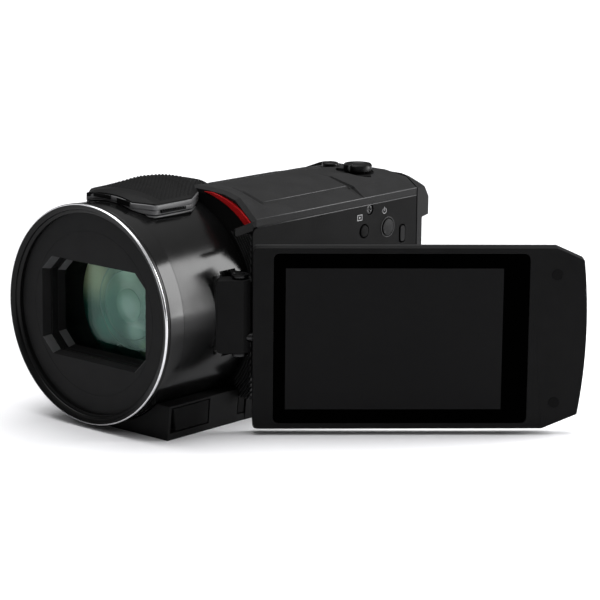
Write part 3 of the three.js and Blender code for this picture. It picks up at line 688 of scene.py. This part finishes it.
def make_left_wall():
    outline = [(37.3, 25.3), (37.3, -27.0), (BACK_Y, -27.0), (BACK_Y, 25.3)]
    wall = prism("left_wall", rounded(outline, [2.2, 0, 0, 0]), 31.0, WALL_X, "x")
    below = [(33.5, -19.6), (33.5, -28), (28.4, -28), (28.4, -24.6), (WALL_X, -19.6)]
    combine(wall, prism("corner", below, 30, 120, "y"))
    sloped = [(WALL_X, -19.6), (28.4, -24.6), (28.15, -27.0), (26.2, -27.0), (26.4, -25.2),
              (31.0, -20.2), (31.0, -19.6)]
    combine(wall, prism("left_wall_low", sloped, 37.3, BACK_Y, "y"), how="UNION")
    holes = [
        prism("hole", circle(*POWER_AT, 3.3), 20, 40, "x"),
        prism("hole", circle(*MODE_AT, 2.3), 20, 40, "x"),
        prism("hole", rounded(rectangle(105.9, 109.1, 11.1, 17.1), 1.4), 20, 40, "x"),
        prism("hole", circle(*SCREW_AT, 1.75), 32.2, 40, "x"),
        prism("hole", rounded(rectangle(61.7, 92.3, -14.3, 6.3), 0.8), 20, 40, "x"),
        prism("notch", rectangle(66.5, 68.6, 25.0, 26.0), 32.7, 40, "x"),
    ]
    combine(wall, *holes)
    show(soften(wall, 0.2), "housing", WALL, "matte_black", "left_side_cover")
    # Painted highlights: thin light grey beads along the side seam, the wall's top edge and the deck's
    # step edge.
    for name, x, z, radius, along in (
        ("seam_painted_highlight", WALL_X - 0.12, 25.45, 0.16, (39.6, 60, 90, 114.4)),
        ("top_edge_painted_highlight", WALL_X - 0.1, 27.85, 0.16, (39.2, 60, 90, 114.3)),
        ("deck_edge_painted_highlight", 26.45, 31.02, 0.14, (49.2, 60, 75, 87.4)),
    ):
        show(swept(name, [(x, y, z) for y in along], radius), "housing", PAINTED_EDGE_LIGHT, "grained_grey")


def make_front():
    outline = [(32.4, 25), (32.4, -19.4), (28.0, -24.4), (27.2, -32.4), (-23.3, -32.4), (-29, -24),
               (-31, -8), (-31, 6), (-29, 20), (-22, 29.5), (-8, 34.3), (8, 34.3), (20, 33.0),
               (28, 30), (32.2, 26.8)]
    plate = prism("front_wall", outline, 37.2, 39.9, "y")
    combine(plate, turned("hole", [(0, 30), (28.7, 30), (28.7, 50), (0, 50)], 96))
    show(soften(plate, 0.15), "housing", SOFT, "matte_black", "front_frame")
    teeth = []
    for k in range(9):
        r = 33.9 + 0.92 * k
        teeth += [(r, 37.6), (r + 0.1, 36.8), (r + 0.42, 36.75), (r + 0.55, 37.6)]
    ribs = turned("front_wall_ribs", [*teeth, (42.4, 38.0), (33.6, 38.0)], 256)
    keep = joined("keep",
                  box("upper", (20, 32.7), (36, 40), (6, 23.6)),
                  box("lower", (26.2, 32.7), (36, 40), (-27.2, -8)))
    combine(ribs, keep, how="INTERSECT")
    show(soften(ribs, 0, angle=25, flat=0), "housing", GRAINED, "matte_black")

    ear = [(29.6, 24.0), (37.3, 24.9), (37.3, 27.3), (29.6, 26.3)]
    ear = prism("wall_ear", rounded(ear, [0.9, 0.01, 0.01, 0.9]), 32.3, WALL_X, "x")
    show(soften(ear, 0.15), "housing", WALL, "matte_black")
    # Painted highlights: two thin light grey lines along the ear's upper and lower edges.
    x = WALL_X - 0.1
    lines = [swept("line", [(x, 30.3, z), (x, 37.3, z + 0.8)], 0.1) for z in (24.15, 26.3)]
    show(joined("wall_ear_painted_highlights", *lines), "housing", PAINTED_EDGE_LIGHT, "matte_black")

    inner = [(13.2, 34.3), (16.5, 33.5), (19.6, 32.5), (22.4, 31.3), (25.0, 29.9), (27.4, 28.3),
             (29.8, 26.2)]
    outer = [(32.6, 26.6), (30.6, 28.5), (28.2, 30.3), (25.4, 31.7), (22.6, 32.9), (19.6, 33.8),
             (16.6, 34.4)]
    arch = prism("red_arch", [*inner, *outer], 36.95, 38.6, "y")
    show(soften(arch, 0.12), "housing", RED, "red_accent", "red_accent")


def make_shell_rest():
    refined("right_side_cover", GRAINED, "grained_grey", 0.5, 3)
    refined("rear_cover", GRAINED, "matte_black", 0.5, 3)
    refined("base_cover", MATT, "matte_black", 0.35, 2)
    refined("tripod_socket", BRASS, "brass", 0.15)
    refined("battery", GRAINED, "grained_grey", 0.5, 3)
    refined("battery_latch", SOFT, "soft_black", 0.3)
    refined("terminal_door", MATT, "matte_black", 0.3)
    for node in ("hinge_lug_upper", "hinge_lug_lower", "lcd_swing_pin"):
        refined(node, DARK_STEEL, "steel", 0.12)
    for node in ("hdmi_socket", "usb_socket"):
        refined(node, STEEL, "steel", 0.12)
    for node in ("strap_anchor_front", "strap_anchor_rear"):
        refined(node, MATT, "steel", 0.8, 3)


# ---------------------------------------------------------------- microphone pod

POD_FRONT, POD_BACK = 10, 47
BARREL_REACH, BODY_TOP = 33.3, 34.9        # what the pod's layers stand on
# The pod's height along its middle and its edge, and how far it reaches to each side: (y, value).
POD_RIDGE = [(10, 35.6), (12.5, 36.3), (17, 36.1), (24, 36.5), (32.6, 37.8), (38, 37.5), (47, 35.2)]
POD_EDGE = [(10, 34.3), (14, 33.7), (24, 33.8), (32.6, 34.0), (40, 34.2), (47, 34.4)]
POD_LEFT = [(10, 9.5), (14, 15.2), (28.5, 15.9), (41, 7.6), (47, 4.5)]
POD_RIGHT = [(10, 8.5), (14, 12.5), (19, 16.5), (33, 16.8), (47, 11.5)]


def pod_layer(name, top_drop, bottom_drop, grow, ribs=0.0, across=40, along=44):
    """A slice of the pod between two drops below its top, grown outwards in plan."""
    def surface(x_part, y):
        ridge, edge = between(POD_RIDGE, y), between(POD_EDGE, y)
        return ridge - (ridge - edge) * abs(x_part) ** 2.4

    middle = (POD_FRONT + POD_BACK) / 2
    top, bottom = [], []
    for j in range(along + 1):
        y_plan = POD_FRONT + (POD_BACK - POD_FRONT) * j / along
        y = middle + (y_plan - middle) * (1 + grow / (middle - POD_FRONT))
        left, right = between(POD_LEFT, y_plan) + grow, between(POD_RIGHT, y_plan) + grow
        for i in range(across + 1):
            part = -1 + 2 * i / across
            x = part * (left if part > 0 else right)
            z = surface(part, y_plan) - top_drop
            inset = min(1 - abs(part), (y_plan - POD_FRONT) / 17, (POD_BACK - y_plan) / 17)
            if ribs and inset > 0.09 and y_plan > 17:
                phase = (0.77 * x + 0.64 * y) / 1.1
                z -= ribs * (0.5 + 0.5 * math.cos(2 * math.pi * phase))
            top.append((x, y, z))
            low = surface(part, y_plan) - bottom_drop
            on_barrel = math.sqrt(max(0.0, BARREL_REACH ** 2 - x * x))
            bottom.append((x, y, max(low, on_barrel if y < BARREL_BACK else BODY_TOP)))
    row, size = across + 1, (across + 1) * (along + 1)
    for k, (x, y, z) in enumerate(bottom):
        bottom[k] = (x, y, min(z, top[k][2] - 0.3))
    faces = []
    for j in range(along):
        for i in range(across):
            a = j * row + i
            b = size + a
            faces += [(a, a + 1, a + row + 1, a + row), (b, b + row, b + row + 1, b + 1)]
    rim = [*range(row), *[j * row + across for j in range(1, along + 1)],
           *[along * row + i for i in range(across - 1, -1, -1)],
           *[j * row for j in range(along - 1, 0, -1)]]
    faces += [(a, b, size + b, size + a) for a, b in zip(rim, rim[1:] + rim[:1])]
    return piece(name, top + bottom, faces)


def make_pod():
    cap = pod_layer("mic_pod_cap_ribbed", 0.0, 1.0, 0.3, ribs=0.35, across=150, along=170)
    cap = soften(cap, 0, angle=40, flat=0, weigh=False)
    show(cap, "housing", MATT, "grained_grey", "mic_pod_cap")
    for name, top, bottom, grow, finish, *nodes in (
        ("mic_pod_band_upper", 0.55, 1.9, 0.6, PALE), ("mic_pod_band_lower", 2.05, 3.3, 0.55, PALE),
        ("mic_pod_foot", 3.75, 4.15, 0.6, PALE),
        ("mic_pod_skirt", 0.8, 6.0, 0.25, MATT, "mic_pod_base"),
    ):
        layer = soften(pod_layer(name, top, bottom, grow), 0.12, flat=0, angle=50, weigh=False)
        show(layer, "housing", finish, "grained_grey", *nodes)
    slot_side = prism("mic_slot_side", rectangle(15.6, 25.8, 30.9, 31.75), 15.0, 16.55, "x")
    teeth = [box("tooth", (14, 18), (16.1 + k, 16.55 + k), (31.3, 33)) for k in range(10)]
    show(soften(combine(slot_side, *teeth), 0), "housing", SOFT, "matte_black")
    for name, x0, x1, z0, z1, lean in (
        ("mic_slot_front", -5.7, 1.3, 34.0, 35.1, 0.0),
        ("mic_slot_left", 4.2, 9.3, 33.3, 34.8, -0.5),
        ("mic_slot_right", -8.6, -7.2, 33.6, 34.8, 0.3),
    ):
        outline = [(x0, z0), (x1, z0 + lean), (x1, z1 + lean), (x0, z1)]
        mesh_slot = prism(name, outline, POD_FRONT - 1.0, POD_FRONT + 0.4, "y")
        show(soften(mesh_slot, 0), "housing", SOFT, "matte_black")
    for node in ("mic_left", "mic_right"):
        refined(node, STEEL, "steel", 0.1)


# ---------------------------------------------------------------- controls


def make_cap(body, profile, at, axis, finish, slot="matte_black", steps=72, width=0.1):
    """A turned button cap on the body of its own name."""
    cap = turned(body + "_cap", profile, steps, at, axis)
    show(soften(cap, width, angle=25), body, finish, slot, body)


def make_buttons():
    rim = [(3.15, 32.2), (3.3, 33.15), (2.98, 33.15), (2.9, 32.2)]
    ring = turned("power_button_rim", rim, 96, POWER_AT, "x")
    show(soften(ring, 0.06), "housing", SATIN, "matte_black")
    make_cap("power_button", [(0, 29.2), (2.8, 29.2), (2.8, 33.1), (2.5, 33.35), (0, 33.2)],
             POWER_AT, "x", SPUN, steps=96, width=0.05)
    make_cap("mode_button", [(0, 29.2), (1.9, 29.2), (1.9, 33.05), (1.7, 33.3), (0, 33.35)],
             MODE_AT, "x", SOFT, width=0.05)
    pill = rounded(rectangle(106.3, 108.7, 11.5, 16.7), 1.15)
    pill = soften(prism("pill_button_cap", pill, 29.6, 33.3, "x"), 0.25, 3)
    show(pill, "pill_button", MATT, "matte_black", "pill_button")
    head = [(0, 31.2), (1.6, 31.2), (1.6, 32.5), (1.35, 32.75), (0, 32.8)]
    screw = turned("wall_screw", head, 48, SCREW_AT, "x")
    y, z = SCREW_AT
    arms = [box("arm", (32.4, 34), (y - a, y + a), (z - b, z + b)) for a, b in ((0.95, 0.2), (0.2, 0.95))]
    show(soften(combine(screw, *arms), 0.05), "housing", SATIN, "steel")

    disc = [(0, 32.7), (4.2, 32.7), (4.6, 33.1), (4.6, 34.7), (4.2, 35.2), (3.5, 35.2), (3.2, 34.9),
            (0, 34.85)]
    lever = turned("zoom_lever_disc", disc, 96, ZOOM_AT, "z")
    tab = prism("tab", rounded(rectangle(16.4, 18.6, 97.4, 101), 0.8), 33.4, 35.4, "z")
    stem = turned("stem", [(0, 26), (2.0, 26), (2.0, 33.6), (0, 33.6)], 32, ZOOM_AT, "z")
    combine(lever, tab, stem, how="UNION")
    show(soften(lever, 0.2), "zoom_lever", SATIN, "matte_black", "zoom_lever")
    make_cap("photo_button", [(0, 27.6), (2.7, 27.6), (2.7, 33.8), (2.4, 34.2), (0, 34.1)],
             PHOTO_AT, "z", SATIN)
    make_cap("record_button", [(0, 112), (3.7, 112), (3.7, 118.2), (3.3, 118.6), (0, 118.4)],
             RECORD_AT, "y", SOFT, "soft_black")
    mark = [(0, 118.3), (1.3, 118.3), (1.3, 118.52), (0, 118.52)]
    dot = turned("record_mark", mark, 48, RECORD_AT, "y")
    show(soften(dot, 0), "record_button", RED, "red_accent")


def make_print():
    """Plain signs beside the two wall buttons: a play triangle in a frame, and a power sign."""
    signs = []
    frame_sign = prism("sign", rectangle(85.4, 87.8, 21.0, 22.9), 32.95, 33.03, "x")
    hollow = prism("hollow", rectangle(85.65, 87.55, 21.25, 22.65), 32, 34, "x")
    signs.append(combine(frame_sign, hollow))
    signs.append(prism("play", [(86.25, 21.5), (86.25, 22.4), (87.1, 21.95)], 32.95, 33.03, "x"))
    arc = [(98.6 + r * math.sin(a), 22.6 + r * math.cos(a)) for r, order in ((1.0, 1), (0.78, -1))
           for a in [math.radians(t) for t in range(40, 321, 20)][::order]]
    signs.append(prism("power", arc, 32.95, 33.03, "x"))
    signs.append(prism("bar", rectangle(98.49, 98.71, 22.5, 23.8), 32.95, 33.03, "x"))
    show(joined("wall_signs", *signs), "housing", PRINT, "matte_black")


# ---------------------------------------------------------------- chin and jacks


def make_jacks():
    for name, y0, y1, high in (
        ("jack_cover_front", 8.6, 23.9, -25.4), ("jack_cover_rear", 44.0, 53.6, -27.7),
    ):
        section = [(27.95, high), (26.3, high), (26.3, -32.6), (27.4, -32.6)]
        flap = prism(name + "_flap", section, y0, y1, "y")
        slant = [(y0 - 1, -33), (y0 + 1.6, -33), (y0 - 0.2, high + 1), (y0 - 1, high + 1)]
        combine(flap, prism("slant", slant, 20, 40, "x"))
        show(soften(flap, 0.3), name, RUBBER, "rubber_black", name)
    refined("remote_jack", SOFT, "soft_black", 0.1)
    refined("headphone_jack", SOFT, "soft_black", 0.1)


# ---------------------------------------------------------------- screen


SHAFT_AT = (-1.6, -5.5)           # (y, z) of the tilt's shaft in the panel's frame


def panel_outline(inset=0.0):
    """Outline of the screen panel: square at the hinge and curved at the far end."""
    near, low, high = 4 + inset, -33 + inset, 22 - inset
    ends = [(101 - inset, -28.6 + inset * 0.6), (104.8 - inset, SHAFT_AT[1]),
            (102 - inset, 18.4 - inset * 0.6)]
    curve = [bezier(ends, k / 12) for k in range(13)]
    outline = [(near, low), (90.5, low), *curve, (94, high), (near, high)]
    return rounded(outline, [1.6, 1.0, *[0] * len(curve), 1.0, 1.6])


def shaft_room(near, far):
    profile = [(0, near), (1.65, near), (1.65, far), (0, far)]
    return turned("shaft_room", profile, 32, SHAFT_AT, "x", PANEL)


def make_screen():
    front, split, back = -4.5, -1.0, 1.3
    hole = rounded(rectangle(10.15, 85.85, -31.3, 20.3), 2.0)
    frame_part = prism("lcd_front_frame", panel_outline(), front, split, "y", PANEL)
    room = prism("room", panel_outline(1.5), front + 1, 3, "y", PANEL)
    combine(frame_part, room, prism("hole", hole, -6, 3, "y", PANEL), shaft_room(0, 14))
    show(soften(frame_part, 0.7, 4), "lcd_panel", MATT, "matte_black", "lcd_front_bezel")
    shell = prism("lcd_back_shell", panel_outline(), split + 0.2, back, "y", PANEL)
    room = prism("room", panel_outline(1.5), -2, 0.2, "y", PANEL)
    combine(shell, room, shaft_room(0, 14))
    show(soften(shell, 0.7, 4), "lcd_panel", GRAINED, "matte_black", "lcd_rear_cover")
    pane = rounded(rectangle(10.3, 85.7, -31.15, 20.15), 2.0)
    pane = soften(prism("lcd_pane", pane, -4.43, -3.6, "y", PANEL), 0.06)
    show(pane, "lcd_panel", BLACK_PRINT, "screen_glass", "lcd_glass")
    picture = prism("lcd_picture", rectangle(13.7, 78.1, -27.0, 15.9), -4.47, -4.435, "y", PANEL)
    show(picture, "lcd_panel", DISPLAY, "screen_glass", "lcd_display")
    knob = [(0, -4.6), (1.3, -4.6), (1.6, -4.65), (1.7, -4.4), (0, -4.4)]
    for name, z in (("lcd_bumper_upper", 14.0), ("lcd_bumper_lower", -25.0)):
        bumper = turned(name, knob, 48, (94.0, z), "y", PANEL)
        show(soften(bumper, 0.05), "lcd_panel", RUBBER, "rubber_black")

    low, high = -10, 12
    plan = [(-6.8, -4.2), (1.2, -4.2), (3.4, -2.2), (3.4, 2.6), (-4.5, 2.6), (-6.8, 0.5)]
    block = prism("lcd_hinge_knuckle", plan, low, high, "z", PANEL)
    face = rounded(rectangle(-6.8, 3.6, low, high), [1.6, 0.01, 0.01, 1.6])
    combine(block, prism("round", face, -8, 8, "y", PANEL), how="INTERSECT")
    pin = prism("pin_room", circle(0, 0, 1.85, 32), -20, 20, "z", PANEL)
    combine(block, pin, shaft_room(1.6, 20))
    show(soften(block, 0.3, 3), "lcd_hinge", MATT, "matte_black", "lcd_hinge_block")
    refined("lcd_tilt_shaft", DARK_STEEL, "steel", 0.1)


# ---------------------------------------------------------------- strap


def make_strap():
    """A padded band: thick in the middle, thin at its stitched rim, narrowed at both ends."""
    line = [(-35.2, 46.5), (-56.0, 54.5), (-56.0, 100.6), (-35.2, 108.6)]
    steps, across = 60, 20
    path = [Vector((*bezier(line, k / steps), 0)) for k in range(steps + 1)]
    sections = []
    for k, here in enumerate(path):
        ahead = (path[min(k + 1, steps)] - path[max(k - 1, 0)]).normalized()
        outward = Vector((ahead.y, -ahead.x, 0))
        fill = math.sin(math.pi * k / steps) ** 0.5
        half = 10.5 + 3.5 * fill
        ring = []
        for side in (1, -1):
            for i in range(across):
                s = (-1 + 2 * i / across) * side
                pad = max(0.0, 1 - abs(s) ** 4) ** 0.6
                rim = 0.55 + (1.5 + 0.12 * math.sin(k * 2.1)) * fill * pad
                quilt = 0.25 * fill if abs(abs(s) - 0.78) < 0.06 else 0.0
                depth = outward * (2.0 + side * (rim - quilt))
                ring.append(tuple(here + depth + Vector((0, 0, 1 + s * half))))
        sections.append(ring)
    strap = loft("hand_strap_pad", sections)
    show(soften(strap, 0, angle=60, flat=0), "housing", CLOTH, "strap_fabric", "hand_strap")


# ---------------------------------------------------------------- the rest of the CAD nodes


def paint_hidden():
    inside = (
        (SOFT, ["lens_tube", "speaker", "zoom_lens_holder", "focus_lens_holder"]),
        (COATED, ["rear_lens", "zoom_lens", "focus_lens"]),
        (STEEL, ["sensor_frame", "zoom_motor"]),
        (SENSOR, ["image_sensor"]),
        (BOARD, ["sensor_board", "main_board", "switch_board"]),
        (BRASS, ["battery_contacts"]),
    )
    for finish, nodes in inside:
        for node in nodes:
            mesh = frame["nodes"][node].data
            mesh.materials.clear()
            mesh.materials.append(finish)


# ---------------------------------------------------------------- studio


def softbox(name, place, size, power, target=(0, 0, 0.04)):
    light = bpy.data.lights.new(name, "AREA")
    light.shape = "RECTANGLE"
    light.size, light.size_y = size
    light.energy = power
    obj = bpy.data.objects.new(name, light)
    obj.location = place
    obj.rotation_euler = (Vector(target) - Vector(place)).to_track_quat("-Z", "Y").to_euler()
    bpy.context.scene.collection.objects.link(obj)


def make_studio():
    floor = piece("floor", [(-6, -6, 0), (6, -6, 0), (6, 6, 0), (-6, 6, 0)], [(0, 1, 2, 3)], Matrix())
    floor.data.materials.append(PALE_FLOOR)
    world = bpy.data.worlds.new("studio")
    world.use_nodes = True
    nodes, links = world.node_tree.nodes, world.node_tree.links
    height = nodes.new("ShaderNodeSeparateXYZ")
    links.new(nodes.new("ShaderNodeTexCoord").outputs["Generated"], height.inputs[0])
    sky = nodes.new("ShaderNodeValToRGB")
    for point, (place, level) in zip(sky.color_ramp.elements, ((0.3, 0.08), (0.95, 1.0))):
        point.position = place
        point.color = (level, level, level, 1)
    links.new(height.outputs["Z"], sky.inputs["Fac"])
    links.new(sky.outputs["Color"], nodes["Background"].inputs["Color"])
    nodes["Background"].inputs["Strength"].default_value = 0.8
    bpy.context.scene.world = world
    softbox("overhead", (-1.1, 0.4, 6.0), (5.6, 5.6), 430, (0, 0, 0))
    softbox("right", (0.30, 0.30, 0.17), (0.2, 0.34), 2.5, (0.03, -0.05, 0.05))
    bpy.context.scene.view_settings.view_transform = "Standard"


def make_camera():
    """Long lens from the front left of the person holding it, a little above."""
    data = bpy.data.cameras.new("camera")
    data.lens = 159.6
    data.sensor_width = 36
    data.shift_x, data.shift_y = 0.0304, 0.0006
    data.clip_start = 0.05
    turn, down, roll = (math.radians(v) for v in (41.816, 12.693, 0.464))
    ahead = Vector((-math.sin(turn) * math.cos(down), math.cos(turn) * math.cos(down), -math.sin(down)))
    level = Vector((math.cos(turn), math.sin(turn), 0))
    upright = level.cross(ahead)
    right = level * math.cos(roll) + upright * math.sin(roll)
    up = upright * math.cos(roll) - level * math.sin(roll)
    stand = Matrix.Translation((0.5573, -0.6076, 0.2136))
    camera = bpy.data.objects.new("camera", data)
    camera.matrix_world = stand @ Matrix((right, up, -ahead)).transposed().to_4x4()
    bpy.context.scene.collection.objects.link(camera)
    bpy.context.scene.camera = camera


make_ring()
make_face()
make_elements()
make_barrel()
make_top()
make_left_wall()
make_front()
make_shell_rest()
make_pod()
make_buttons()
make_print()
make_jacks()
make_screen()
make_strap()
paint_hidden()
make_studio()
make_camera()
